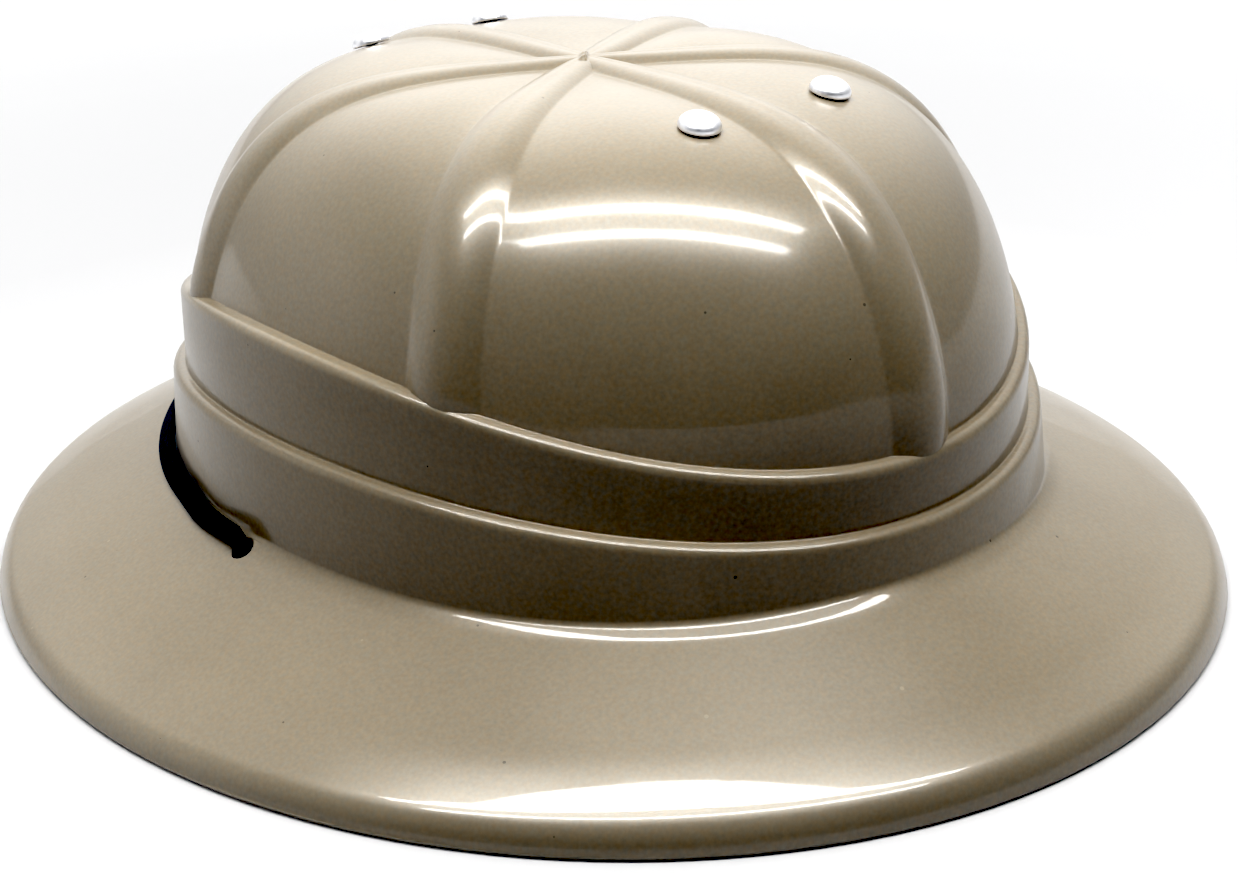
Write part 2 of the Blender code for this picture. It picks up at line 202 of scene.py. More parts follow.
# ---- bands, root, brim and lip ---------------------------------------------------------------------
def arc_rows(radius, z, size, start, steps):
    """Convex quarter round whose corner is at (radius, z), from an angle down to the face below it."""
    return [
        (radius - size + size * math.cos(a), z - size + size * math.sin(a))
        for a in (start * (1 - i / steps) for i in range(steps + 1))
    ]


def ledge_rows(angle, band, ledge, inner, depth, steps):
    """Corner under the wall above, flat top and rounded edge of a ledge; a rib may cover its top."""
    size = max(LEDGE_EDGE - depth, INNER_EDGE)
    outer = plan_radius(band, angle) - depth
    z = level(ledge, angle) - depth
    free = outer - size - inner
    if free > 0:
        corner = min(LEDGE_CORNER + depth * 0.5, free * 0.5)
        start = math.pi / 2
        top = z
    else:
        corner = 0.0
        start = math.acos(min(max((inner - outer + size) / size, 0.0), 0.98))
        top = z - size + size * math.sin(start)
    rows = [
        (inner, top + corner * 1.6 + 0.02 * MM),
        (inner + corner * 0.08, top + corner * 0.6 + 0.01 * MM),
        (inner + corner * 0.4, top + corner * 0.15),
        (inner + corner, top),
    ]
    if free > 0:
        rows.append((inner + (corner + free) / 2, top))
    else:
        rows.append((inner, top))
    return rows + arc_rows(outer, z, size, start, steps)


def line_rows(start, end, shares):
    return [(start[0] + (end[0] - start[0]) * s, start[1] + (end[1] - start[1]) * s) for s in shares]


def curve_rows(start, middle, end, steps):
    """Quadratic curve from start to end, without its first point."""
    rows = []
    for i in range(1, steps + 1):
        t = i / steps
        a, b, c = (1 - t) ** 2, 2 * t * (1 - t), t * t
        rows.append(tuple(a * p + b * q + c * r for p, q, r in zip(start, middle, end)))
    return rows


def lip_radius(angle):
    return LIP_RADIUS[0] + LIP_RADIUS[1] * math.cos(2 * angle)


def root_drop(out):
    """How far the brim has sunk below its straight line, this far out from the band."""
    def past_ring(distance):
        return math.log1p(math.exp((distance - ROOT_RING) / ROOT_RING_EASE))

    fall = out - ROOT_RING_EASE * (past_ring(out) - past_ring(0.0))
    return ROOT_RING_SLOPE * fall + ROOT_SAG * (1 - math.exp(-out / ROOT_TAIL))


def brim_rows(angle, steps):
    """Section of root, brim and lip down to the floor, in radius and height."""
    root, edge = plan_radius("brim_root", angle), plan_radius("brim_edge", angle)
    top = level("brim_root", angle) + ROOT_RISE
    radius = lip_radius(angle)
    lip = (edge - radius * (1 - math.sin(LIP_SLOPE)), radius * math.cos(LIP_SLOPE))
    bend = edge - BEND_END
    outer, steepest = math.tan(OUTER_SLOPE), math.tan(LIP_SLOPE)
    bend_z = lip[1] + (lip[0] - bend) * (outer + steepest) / 2
    half = BEND_WIDTH / 2
    slope = (top - root_drop(bend - root) - bend_z - half * outer) / (bend - root - half)

    def height(radius):
        sunk = top - slope * (radius - root) - root_drop(radius - root)
        t = min(max((radius - bend + BEND_WIDTH) / BEND_WIDTH, 0.0), 1.0)
        return sunk - (outer - slope) * BEND_WIDTH * (t**3 - t**4 / 2)

    start = (root + ROOT_FILLET, height(root + ROOT_FILLET))
    fall = (height(start[0] - 0.05 * MM) - height(start[0] + 0.05 * MM)) / (0.1 * MM)
    corner = (root, start[1] + fall * ROOT_FILLET)
    wall = (root, corner[1] + ROOT_FILLET)
    rows = [wall] + curve_rows(wall, corner, start, steps)
    span = bend - start[0]
    for i in range(1, 5 * steps + 1):
        reach = start[0] + span * (i / (5 * steps)) ** 1.5
        rows.append((reach, height(reach)))
    for i in range(1, steps):
        t = i / steps
        fallen = outer * t + (steepest - outer) * t * t / 2
        rows.append((bend + (lip[0] - bend) * t, bend_z - (lip[0] - bend) * fallen))
    for i in range(2 * steps + 1):
        a = LIP_SLOPE + (math.pi / 2 - LIP_SLOPE) * i / (2 * steps)
        rows.append((edge - radius * (1 - math.sin(a)), max(radius * math.cos(a), RIM_ROUND)))
    return rows


def offset_rows(rows, depth):
    """The section moved inward by depth, square to itself."""
    result = []
    for i, (radius, z) in enumerate(rows):
        before, after = rows[max(i - 1, 0)], rows[min(i + 1, len(rows) - 1)]
        across, down = after[0] - before[0], before[1] - after[1]
        size = math.hypot(across, down)
        result.append((radius - depth * down / size, z - depth * across / size))
    return result[:-1] + [(rows[-1][0] - depth, rows[-1][1])]


def rim_rows(angle, depth):
    """Rounded lower edge of the lip on the outer (depth 0) or inner side."""
    edge = plan_radius("brim_edge", angle) - depth
    size = -RIM_ROUND if depth == 0 else INNER_RIM_ROUND
    rows = []
    for i in range(1, RIM_STEPS + 1):
        a = math.pi / 2 * i / RIM_STEPS
        rows.append((edge + size * (1 - math.cos(a)), abs(size) * (1 - math.sin(a))))
    return rows


# ---- the hub's gate mark ---------------------------------------------------------------------------
GATE_PIT = (-3.0 * MM, -2.6 * MM)    # middle of the small pit beside the hub, in plan
GATE_PIT_RADIUS = 0.85 * MM
GATE_PIT_DEPTH = 0.9 * MM
GATE_STUB_TO = (0.6 * MM, 1.2 * MM)  # the moulding's cut-off stub runs from the pit to here
GATE_STUB_RADIUS = 1.0 * MM
GATE_STUB_HEIGHT = 0.9 * MM
GATE_STUB_FROM = 0.28                # share of the way where the stub starts, clear of the pit
GATE_UNEVENNESS = 0.25               # of the stub's height


def gate_mark(point):
    """Height that the gate mark adds at a plan point."""
    pit = Vector(GATE_PIT)
    here = Vector(point)
    along = Vector(GATE_STUB_TO) - pit
    share = min(max((here - pit).dot(along) / along.length_squared, GATE_STUB_FROM), 1.0)
    stub = (here - (pit + along * share)).length / GATE_STUB_RADIUS
    hole = (here - pit).length / GATE_PIT_RADIUS
    ripple = math.sin(here.x / MM * 4.1 + 1.3) * math.cos(here.y / MM * 3.7)
    rough = 1 - GATE_UNEVENNESS + GATE_UNEVENNESS * ripple
    up = GATE_STUB_HEIGHT * rough * smooth_step(1.25 - stub)
    return up - GATE_PIT_DEPTH * smooth_step((1.3 - hole) * 1.4)


# ---- columns and lofts -----------------------------------------------------------------------------
def columns():
    """(rib, signed offset in half widths, None) on or beside a rib, (rib, 0, fraction) on a panel."""
    offsets = [-x for x in RIB_OFFSETS[:0:-1]] + list(RIB_OFFSETS)
    result = []
    for rib in range(len(RIB_ANGLES)):
        result += [(rib, offset, None) for offset in offsets]
        result += [(rib, 0, (i + 1) / (PANEL_COLUMNS + 1)) for i in range(PANEL_COLUMNS)]
    return result


def column_angle(column, share):
    rib, offset, fraction = column
    here = math.radians(RIB_ANGLES[rib])
    gap = math.remainder(math.radians(RIB_ANGLES[(rib + 1) % len(RIB_ANGLES)]) - here, math.tau)
    reach = rib_half_width(share) * RIB_OFFSETS[-1]

    def edge(at, limit):
        radius = max(plan_radius("crown", at) * share, 1e-6)
        return math.asin(min(reach / radius, math.sin(limit)))

    if fraction is None:
        before = math.remainder(here - math.radians(RIB_ANGLES[rib - 1]), math.tau)
        limit = HUB_FREE * (gap if offset > 0 else before) / 2
        return here + offset / RIB_OFFSETS[-1] * edge(here, limit)
    limit = HUB_FREE * gap / 2
    start = edge(here, limit)
    end = gap - edge(here + gap, limit)
    return here + start + (end - start) * fraction


def outer_strip(column):
    foot_angle = column_angle(column, 1.0)
    foot_share = crown_share_at(level("upper_ledge", foot_angle))
    strip = []
    for share in crown_shares(foot_share, CROWN_ROWS):
        angle = column_angle(column, share)
        point = place(angle, *crown_point(angle, share, foot_share))
        point.z += gate_mark(point.xy)
        strip.append(point)
    crown_foot = crown_point(foot_angle, foot_share, foot_share)[0]
    lower_inner = plan_radius("lower_band", foot_angle) - LEDGE_WIDTH
    rows = ledge_rows(foot_angle, "upper_band", "upper_ledge", crown_foot, 0.0, OUTER_STEPS)
    lower = ledge_rows(foot_angle, "lower_band", "lower_ledge", lower_inner, 0.0, OUTER_STEPS)
    brim = brim_rows(foot_angle, OUTER_STEPS)
    rows += line_rows(rows[-1], lower[0], OUTER_WALL) + lower
    rows += line_rows(rows[-1], brim[0], OUTER_WALL) + brim
    rows += rim_rows(foot_angle, 0.0)
    return strip + [place(foot_angle, radius, z) for radius, z in rows]


def inner_strip(column):
    foot_angle = column_angle(column, 1.0)
    foot_share = crown_share_at(level("upper_ledge", foot_angle))
    strip = []
    for share in crown_shares(foot_share, INNER_CROWN_ROWS):
        angle = column_angle(column, share)
        strip.append(place(angle, *crown_point(angle, share, foot_share, WALL)))
    crown_foot = crown_point(foot_angle, foot_share, foot_share, WALL)[0]
    lower_inner = plan_radius("lower_band", foot_angle) - LEDGE_WIDTH - WALL
    rows = ledge_rows(foot_angle, "upper_band", "upper_ledge", crown_foot, WALL, INNER_STEPS)
    lower = ledge_rows(foot_angle, "lower_band", "lower_ledge", lower_inner, WALL, INNER_STEPS)
    brim = offset_rows(brim_rows(foot_angle, INNER_STEPS), WALL)
    rows += line_rows(rows[-1], lower[0], INNER_WALL) + lower
    rows += line_rows(rows[-1], brim[0], INNER_WALL) + brim
    rows += rim_rows(foot_angle, WALL)
    return strip + [place(foot_angle, radius, z) for radius, z in rows]


def link(mesh, left, right):
    for i in range(len(left) - 1):
        mesh.faces.new((left[i], left[i + 1], right[i + 1], right[i]))


def shell_mesh():
    """Outer face, lower rim and inner face as one closed loft."""
    mesh = bmesh.new()
    outer_hub = mesh.verts.new((0, 0, CROWN_TOP + RIB_HUB_HEIGHT + gate_mark((0, 0))))
    inner_hub = mesh.verts.new((0, 0, CROWN_TOP + RIB_HUB_HEIGHT - WALL))
    strips = []
    for column in columns():
        points = outer_strip(column) + inner_strip(column)[::-1]
        strips.append([mesh.verts.new(point) for point in points])
    for left, right in zip(strips, strips[1:] + strips[:1]):
        mesh.faces.new((outer_hub, left[0], right[0]))
        link(mesh, left, right)
        mesh.faces.new((left[-1], inner_hub, right[-1]))
    bmesh.ops.remove_doubles(mesh, verts=mesh.verts, dist=WELD)
    bmesh.ops.recalc_face_normals(mesh, faces=mesh.faces)
    return mesh


# ---- strap -----------------------------------------------------------------------------------------
STRAP_WIDTH = 6.0 * MM
STRAP_THICKNESS = 1.4 * MM
STRAP_REST = 0.4 * MM              # between the strap and the brim and wall it lies against
STRAP_LEAN = math.radians(51)      # its inner edge leans up the wall
STRAP_HOLE_RADIUS = 2.7 * MM
STRAP_NECK = 0.72                  # share of its width that the strap keeps inside the hole
STRAP_NECK_TOP = 0.5 * MM          # above the brim's face
STRAP_NECK_ROWS = 6
STRAP_START = math.radians(92.5)   # plan angle where the strap lies down beside its hole
STRAP_LEAD = math.radians(17)      # angle over which it leans over
STRAP_HUMP = 0.5 * MM              # how much higher it lies beside the hole
STRAP_CORDS = 8                    # rubber cords side by side in the elastic
STRAP_CORD_DEPTH = 0.13 * MM       # of the furrows between them
STRAP_CORD_STEPS = 6               # points across one cord
STRAP_ROWS = 420
KNOT_RADIUS = 4.2 * MM
KNOT_FLATNESS = 0.75
KNOT_DROP = 6.6 * MM
KNOT_CORD = 1.25 * MM              # radius of the gathered elastic in its knot
KNOT_SPREAD = (0.93 * MM, 0.93 * MM, 1.5 * MM)
KNOT_TURN = 0.985                  # share of the closed knot's round that the elastic runs
KNOT_ROWS, KNOT_SIDES = 150, 20
KNOT_PLEATS, KNOT_PLEAT_DEPTH = 5, 0.06
GAP = 0.3 * MM                     # between pieces that touch


def brim_height(angle, radius):
    rows = brim_rows(angle, 4)
    return float(np.interp(radius, [r for r, _ in rows], [z for _, z in rows]))


def strap_section(angle, tilt):
    """Radius and height of the strap's middle: its inner edge at the wall, its lower one on the brim."""
    core = (STRAP_WIDTH - STRAP_THICKNESS) / 2
    reach, drop = core * math.cos(tilt), core * math.sin(tilt)
    skin = STRAP_THICKNESS / 2 + STRAP_REST
    radius = plan_radius("brim_root", angle) + skin + reach
    here = brim_height(angle, radius)
    slope = math.atan2(here - brim_height(angle, radius + MM), MM)
    outer = brim_height(angle, radius + reach) + drop
    inner = brim_height(angle, radius - reach) - drop
    return radius, skin / math.cos(slope) + max(outer, inner)


def strap_hole(side):
    radius = strap_section(math.pi / 2, 0.0)[0]
    return Vector((side * radius, 0.0, brim_height(math.pi / 2, radius)))


def strap_stations():
    """Left half of the strap from its knot to the back: (place, share of the width, tilt)."""
    hole = strap_hole(-1)
    end = GAP - KNOT_DROP + KNOT_FLATNESS * KNOT_RADIUS
    stations = [
        (hole + Vector((0, 0, end + (STRAP_NECK_TOP - end) * i / STRAP_NECK_ROWS)), STRAP_NECK, 0.0)
        for i in range(STRAP_NECK_ROWS + 1)
    ]
    half = STRAP_ROWS // 2
    for i in range(half + 1):
        angle = STRAP_START + (math.pi - STRAP_START) * i / half
        leaving = 1 - smooth_step((angle - STRAP_START) / STRAP_LEAD)
        tilt = STRAP_LEAN * (1 - leaving)
        radius, height = strap_section(angle, tilt)
        point = place(angle, radius, height + STRAP_HUMP * leaving)
        stations.append((point, 1 - (1 - STRAP_NECK) * leaving, tilt))
    return stations


def strap_outline(share):
    """Section of the elastic: round edges, and a furrow between every two of its cords."""
    half, thick = STRAP_WIDTH * share / 2, STRAP_THICKNESS * share ** 0.5 / 2
    points = []
    steps = STRAP_CORDS * STRAP_CORD_STEPS
    for side in (1, -1):
        for i in range(steps):
            across = (1 - 2 * (i + 0.5) / steps) * side
            furrow = abs(math.sin(math.pi * (i + 0.5) / STRAP_CORD_STEPS)) ** 0.6
            edge = (1 - abs(across) ** 5) ** 0.5
            points.append((half * across, side * (thick - STRAP_CORD_DEPTH * (1 - furrow)) * edge))
    return points


def strap_path():
    half = strap_stations()
    other = [(Vector((-p.x, p.y, p.z)), share, tilt) for p, share, tilt in reversed(half[:-1])]
    return half + other


def sweep(route, section_at):
    """Closed tube along route, mapped in metres: section_at(i) gives the section's points as places."""
    mesh = bmesh.new()
    chart = mesh.loops.layers.uv.new("metres")
    rings = [[mesh.verts.new(point) for point in section_at(i)] for i in range(len(route))]
    lengths = [0.0, *np.cumsum([(b - a).length for a, b in zip(route, route[1:])])]
    for row, (before, after) in enumerate(zip(rings, rings[1:])):
        around = [0.0]
        for here, there in zip(before, before[1:] + before[:1]):
            around.append(around[-1] + (there.co - here.co).length)
        for i in range(len(before)):
            j = (i + 1) % len(before)
            face = mesh.faces.new((before[i], before[j], after[j], after[i]))
            for corner, (along, side) in zip(face.loops, ((0, 0), (0, 1), (1, 1), (1, 0))):
                corner[chart].uv = (lengths[row + along], around[i + side])
    mesh.faces.new(rings[0][::-1])
    mesh.faces.new(rings[-1])
    bmesh.ops.recalc_face_normals(mesh, faces=mesh.faces)
    return mesh


def strap_mesh(path):
    tangents = []
    for i in range(len(path)):
        tangents.append((path[min(i + 1, len(path) - 1)][0] - path[max(i - 1, 0)][0]).normalized())

    def section(i):
        point, share, tilt = path[i]
        tangent = tangents[i]
        out = Vector((point.x, point.y, 0)).normalized()
        lean = math.cos(tilt) * out - math.sin(tilt) * Vector((0, 0, 1))
        flat = (lean - tangent * lean.dot(tangent)).normalized()
        normal = tangent.cross(flat)
        return [point + flat * x + normal * y for x, y in strap_outline(share)]

    return sweep([point for point, _, _ in path], section)


def knot_mesh(centre, side):
    """Overhand knot of the gathered elastic, pulled tight."""
    route = []
    for i in range(KNOT_ROWS + 1):
        t = math.tau * (i / KNOT_ROWS) * KNOT_TURN
        x = math.sin(t) + 2 * math.sin(2 * t)
        y = math.cos(t) - 2 * math.cos(2 * t)
        z = -math.sin(3 * t)
        route.append(centre + Vector(part * size for part, size in zip((side * x, y, z), KNOT_SPREAD)))

    def section(i):
        tangent = (route[min(i + 1, KNOT_ROWS)] - route[max(i - 1, 0)]).normalized()
        flat = tangent.cross(Vector((0, 0, 1))).normalized()
        normal = flat.cross(tangent)
        points = []
        for k in range(KNOT_SIDES):
            a = math.tau * k / KNOT_SIDES
            size = KNOT_CORD * (1 - KNOT_PLEAT_DEPTH * math.cos(KNOT_PLEATS * a))
            points.append(route[i] + flat * (size * math.cos(a)) + normal * (size * math.sin(a)))
        return points

    return sweep(route, section)


# ---- rivets ----------------------------------------------------------------------------------------
RIVETS = (
    # name, x, y
    ("rivet_front_left", -17.3 * MM, -60.2 * MM),
    ("rivet_front_right", 24.6 * MM, -58.3 * MM),
    ("rivet_back_left", -16.4 * MM, 68.5 * MM),
    ("rivet_back_right", 20.8 * MM, 66.5 * MM),
)
RIVET_HEAD_RADIUS = 5.0 * MM
RIVET_HEAD_HEIGHT = 3.5 * MM
RIVET_RIM = 0.3 * MM               # rolled edge of the head
RIVET_FULLNESS = 0.93              # exponent of the dome: 1 is an ellipse, less is fuller
RIVET_SHANK_RADIUS = 1.6 * MM
RIVET_TAIL_RADIUS = 3.0 * MM
RIVET_TAIL_HEIGHT = 1.0 * MM
RIVET_SEAT = 0.3 * MM              # between the head or the tail and the shell
RIVET_SIDES = 72
RIVET_DOME_ROWS, RIVET_CURL_ROWS = 20, 10
RIVET_BORE_DEPTH = 12 * MM
STRAP_BORE_DEPTH = 20 * MM


def surface_frame(x, y):
    """Place and outward normal of the crown above a plan point."""
    def at(px, py):
        angle = math.atan2(-px, -py)
        foot_share = crown_share_at(level("upper_ledge", angle))
        share = math.hypot(px, py) / plan_radius("crown", angle)
        return place(angle, *crown_point(angle, share, foot_share))

    step = 2 * MM
    normal = (at(x + step, y) - at(x - step, y)).cross(at(x, y + step) - at(x, y - step))
    return at(x, y), normal.normalized()


def rivet_section():
    """Outer side of the rivet from the top of its dome to the dimple of its clenched tail."""
    dome = []
    for i in range(RIVET_DOME_ROWS + 1):
        a = math.pi / 2 * i / RIVET_DOME_ROWS
        rise = (RIVET_HEAD_HEIGHT - RIVET_RIM) * math.cos(a) ** RIVET_FULLNESS
        dome.append((RIVET_HEAD_RADIUS * math.sin(a), RIVET_SEAT + RIVET_RIM + rise))
    rim = [
        (RIVET_HEAD_RADIUS - RIVET_RIM * (1 - math.cos(a)), RIVET_SEAT + RIVET_RIM * (1 - math.sin(a)))
        for a in (math.pi / 2 * i / 4 for i in range(1, 5))
    ]
    inner = -WALL - RIVET_SEAT
    low = inner - RIVET_TAIL_HEIGHT
    middle = (RIVET_TAIL_RADIUS + RIVET_SHANK_RADIUS * 0.6) / 2
    half = RIVET_TAIL_RADIUS - middle
    sag = RIVET_TAIL_HEIGHT * 0.45
    curl = [
        (middle + half * math.cos(a), low + sag - sag * math.sin(a))
        for a in (math.pi * i / RIVET_CURL_ROWS for i in range(RIVET_CURL_ROWS + 1))
    ]
    inside = [
        (RIVET_SHANK_RADIUS * 0.5, low + RIVET_TAIL_HEIGHT * 0.9),
        (0.0, low + RIVET_TAIL_HEIGHT * 1.05),
    ]
    return dome + rim + [
        (RIVET_SHANK_RADIUS + 0.2 * MM, RIVET_SEAT),
        (RIVET_SHANK_RADIUS, RIVET_SEAT - 0.2 * MM),
        (RIVET_SHANK_RADIUS, inner),
        (RIVET_TAIL_RADIUS - 0.15 * MM, inner),
    ] + curl + inside


def rivet_mesh(x, y):
    centre, normal = surface_frame(x, y)
    turn = normal.to_track_quat("Z", "Y").to_matrix()
    section = rivet_section()
    mesh = bmesh.new()
    top = mesh.verts.new(centre + turn @ Vector((0, 0, section[0][1])))
    end = mesh.verts.new(centre + turn @ Vector((0, 0, section[-1][1])))
    strips = []
    for i in range(RIVET_SIDES):
        a = math.tau * i / RIVET_SIDES
        strips.append([
            mesh.verts.new(centre + turn @ Vector((r * math.cos(a), r * math.sin(a), z)))
            for r, z in section[1:-1]
        ])
    for left, right in zip(strips, strips[1:] + strips[:1]):
        mesh.faces.new((top, left[0], right[0]))
        link(mesh, left, right)
        mesh.faces.new((left[-1], end, right[-1]))
    bmesh.ops.recalc_face_normals(mesh, faces=mesh.faces)
    return mesh


# ---- object helpers --------------------------------------------------------------------------------
SHELL_CREASE, RIVET_CREASE, STRAP_CREASE = 50, 40, 60     # degrees: sharper edges aren't shaded smooth


def add_mesh(name, mesh, surface=None, crease=None):
    data = bpy.data.meshes.new(name)
    mesh.to_mesh(data)
    mesh.free()
    data.shade_smooth()
    if crease:
        data.set_sharp_from_angle(angle=math.radians(crease))
    item = bpy.data.objects.new(name, data)
    bpy.context.scene.collection.objects.link(item)
    if surface:
        data.materials.append(surface)
    return item


def dress(item, slot, *nodes):
    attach(item, "root")
    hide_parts(*nodes)
    return item


def bores():
    """Every hole through the shell as one cutting body: four for rivets and two for the strap."""
    mesh = bmesh.new()
    for _, x, y in RIVETS:
        centre, normal = surface_frame(x, y)
        turn = normal.to_track_quat("Z", "Y").to_matrix().to_4x4()
        radius = RIVET_SHANK_RADIUS + GAP
        bmesh.ops.create_cone(
            mesh, cap_ends=True, segments=32, radius1=radius, radius2=radius,
            depth=RIVET_BORE_DEPTH, matrix=Matrix.Translation(centre) @ turn)
    for side in (-1, 1):
        bmesh.ops.create_cone(
            mesh, cap_ends=True, segments=48, radius1=STRAP_HOLE_RADIUS, radius2=STRAP_HOLE_RADIUS,
            depth=STRAP_BORE_DEPTH, matrix=Matrix.Translation(strap_hole(side)))
    return mesh


def drill(item, cutter):
    cut = item.modifiers.new("bores", "BOOLEAN")
    cut.operation = "DIFFERENCE"
    cut.solver = "EXACT"
    cut.object = cutter
    graph = bpy.context.evaluated_depsgraph_get()
    drilled = bpy.data.meshes.new_from_object(item.evaluated_get(graph))
    item.modifiers.clear()
    item.data = drilled
    drilled.shade_smooth()
    drilled.set_sharp_from_angle(angle=math.radians(SHELL_CREASE))
    bpy.data.objects.remove(cutter, do_unlink=True)


# ---- materials -------------------------------------------------------------------------------------
KHAKI = (0.328, 0.272, 0.187)
STEEL = (0.93, 0.935, 0.96)
ELASTIC = (0.008, 0.008, 0.009)
THREAD_PITCH = 0.55 * MM
DARK_SPECKS = (125, 0.46 * MM, 0.5)  # cells to a metre, largest radius, share of the cells left clean
PALE_SPECKS = (104, 0.7 * MM, 0.6)
SCRATCHES = (9, 7.0, 0.0018, 0.58)   # waves to a metre, level lines, half width by their spacing, rarity
MOTTLE = 0.14                        # how much lighter and darker the plastic's mottling is
WARMTH = 0.05                        # and how much redder and bluer
LIP_HEIGHTS = (5 * MM, 15 * MM)      # the plastic is glossier below these
FLOOR_GLOW = (0.3, 1.2, 0.68)        # from where to where it rises, in metres, and its strength there
FLOOR_REACH = 6.0


def add_node(tree, kind, inputs=(), **settings):
    """A shader node; its inputs are given as values or as the sockets that feed them."""
    item = tree.nodes.new("ShaderNode" + kind)
    for key, value in settings.items():
        setattr(item, key, value)
    for key, value in dict(inputs).items():
        if isinstance(value, bpy.types.NodeSocket):
            tree.links.new(value, item.inputs[key])
        else:
            item.inputs[key].default_value = value
    return item


def math_node(tree, operation, *values):
    return add_node(tree, "Math", enumerate(values), operation=operation).outputs[0]


def noise(tree, scale, detail, distortion=0.0):
    """Cloudy pattern from 0 to 1; scale counts its waves per metre."""
    where = add_node(tree, "TexCoord").outputs["Object"]
    inputs = {"Vector": where, "Scale": scale, "Detail": detail, "Distortion": distortion}
    return add_node(tree, "TexNoise", inputs).outputs["Fac"]


def spread(tree, value, low, high, to_low, to_high):
    inputs = {"Value": value, "From Min": low, "From Max": high, "To Min": to_low, "To Max": to_high}
    return add_node(tree, "MapRange", inputs).outputs[0]


def blend(tree, share, first, second):
    item = add_node(tree, "Mix", {0: share}, data_type="RGBA")
    for key, value in ((6, first), (7, second)):
        if isinstance(value, bpy.types.NodeSocket):
            tree.links.new(value, item.inputs[key])
        else:
            item.inputs[key].default_value = (*value, 1.0)
    return item.outputs[2]


def scaled(colour, share, warmth=0.0):
    """The colour made lighter or darker, and redder by its warmth."""
    red, green, blue = (channel * share for channel in colour)
    return red * (1 + warmth), green, blue * (1 - warmth)


def specks(tree, scale, size, rarity):
    """Small round specks, one at most to a cell of 1 / scale metres."""
    where = add_node(tree, "TexCoord").outputs["Object"]
    cells = add_node(tree, "TexVoronoi", {"Vector": where, "Scale": scale})
    dice = add_node(tree, "SeparateColor", {0: cells.outputs["Color"]})
    reach = math_node(tree, "MULTIPLY", dice.outputs[1], size * scale)
    near = math_node(tree, "LESS_THAN", cells.outputs["Distance"], reach)
    chosen = math_node(tree, "GREATER_THAN", dice.outputs[0], rarity)
    return math_node(tree, "MULTIPLY", near, chosen)


def hairlines(tree, scale, lines, half_width, rarity):
    """Long fine scratches: level lines of a smooth pattern, kept in a few places."""
    waves = math_node(tree, "MULTIPLY", noise(tree, scale, 0.0, distortion=0.2), lines)
    phase = math_node(tree, "SUBTRACT", math_node(tree, "FRACT", waves), 0.5)
    line = math_node(tree, "LESS_THAN", math_node(tree, "ABSOLUTE", phase), half_width)
    kept = math_node(tree, "GREATER_THAN", noise(tree, scale * 1.7, 3.0), rarity)
    return math_node(tree, "MULTIPLY", line, kept)


def bump(tree, height, size, normal=None):
    """Relief whose pattern from 0 to 1 is this many metres high."""
    inputs = {"Height": height, "Distance": size, "Strength": 1.0}
    if normal:
        inputs["Normal"] = normal
    return add_node(tree, "Bump", inputs).outputs[0]


def new_material(name, values):
    surface = bpy.data.materials.new(name)
    surface.use_nodes = True
    tree = surface.node_tree
    shader = tree.nodes["Principled BSDF"]
    for key, value in values.items():
        shader.inputs[key].default_value = value
    return surface, tree, shader.inputs


def plastic_material():
    """Glossy moulded khaki: a hazy body under a sharp skin, faintly mottled, with specks and scratches."""
    surface, tree, shader = new_material("khaki_plastic", {
        "Specular Tint": (1.0, 0.97, 0.9, 1.0), "Coat Weight": 0.35, "IOR": 1.5, "Coat IOR": 1.5})
    height = add_node(tree, "SeparateXYZ", {0: add_node(tree, "TexCoord").outputs["Object"]}).outputs["Z"]
    crown = add_node(tree, "MapRange", {
        "Value": height, "From Min": LEVELS["upper_ledge"][0], "From Max": CROWN_TOP - 35 * MM},
        interpolation_type="SMOOTHSTEP").outputs[0]
    lip = spread(tree, height, *LIP_HEIGHTS, 1.0, 0.0)
    gloss = math_node(tree, "MULTIPLY_ADD", lip, 0.5, math_node(tree, "MULTIPLY_ADD", crown, 0.26, 0.24))
    tree.links.new(gloss, shader["Specular IOR Level"])
    broad = spread(tree, noise(tree, 16, 3.0), 0.3, 0.7, 0.0, 1.0)
    grain = spread(tree, noise(tree, 1000, 2.0), 0.25, 0.75, 0.0, 1.0)
    mottle = math_node(tree, "MULTIPLY_ADD", broad, 0.45, math_node(tree, "MULTIPLY", grain, 0.55))
    hue = spread(tree, noise(tree, 900, 2.0), 0.3, 0.7, 0.0, 1.0)
    darker, lighter = (
        blend(tree, hue, scaled(KHAKI, share, WARMTH), scaled(KHAKI, share, -WARMTH))
        for share in (1 - MOTTLE, 1 + MOTTLE)
    )
    body = blend(tree, mottle, darker, lighter)
    dark = specks(tree, *DARK_SPECKS)
    body = blend(tree, math_node(tree, "MULTIPLY", dark, 0.7), body, scaled(KHAKI, 0.3))
    pale = specks(tree, *PALE_SPECKS)
    body = blend(tree, math_node(tree, "MULTIPLY", pale, 0.35), body, scaled(KHAKI, 1.6))
    tree.links.new(body, shader["Base Color"])
    scratches = hairlines(tree, *SCRATCHES)
    smudges = spread(tree, noise(tree, 38, 2.0), 0.35, 0.7, 0.28, 0.34)
    tree.links.new(smudges, shader["Roughness"])
    skin = spread(tree, noise(tree, 55, 2.0), 0.45, 0.75, 0.03, 0.055)
    skin = math_node(tree, "MULTIPLY_ADD", crown, 0.055, skin)
    tree.links.new(math_node(tree, "MULTIPLY_ADD", scratches, 0.09, skin), shader["Coat Roughness"])
    waves = bump(tree, noise(tree, 34, 1.0), 0.04 * MM)
    peel = bump(tree, noise(tree, 420, 2.0), 0.0022 * MM, waves)
    marks = bump(tree, dark, -0.02 * MM, peel)
    tree.links.new(marks, shader["Normal"])
    tree.links.new(marks, shader["Coat Normal"])
    return surface


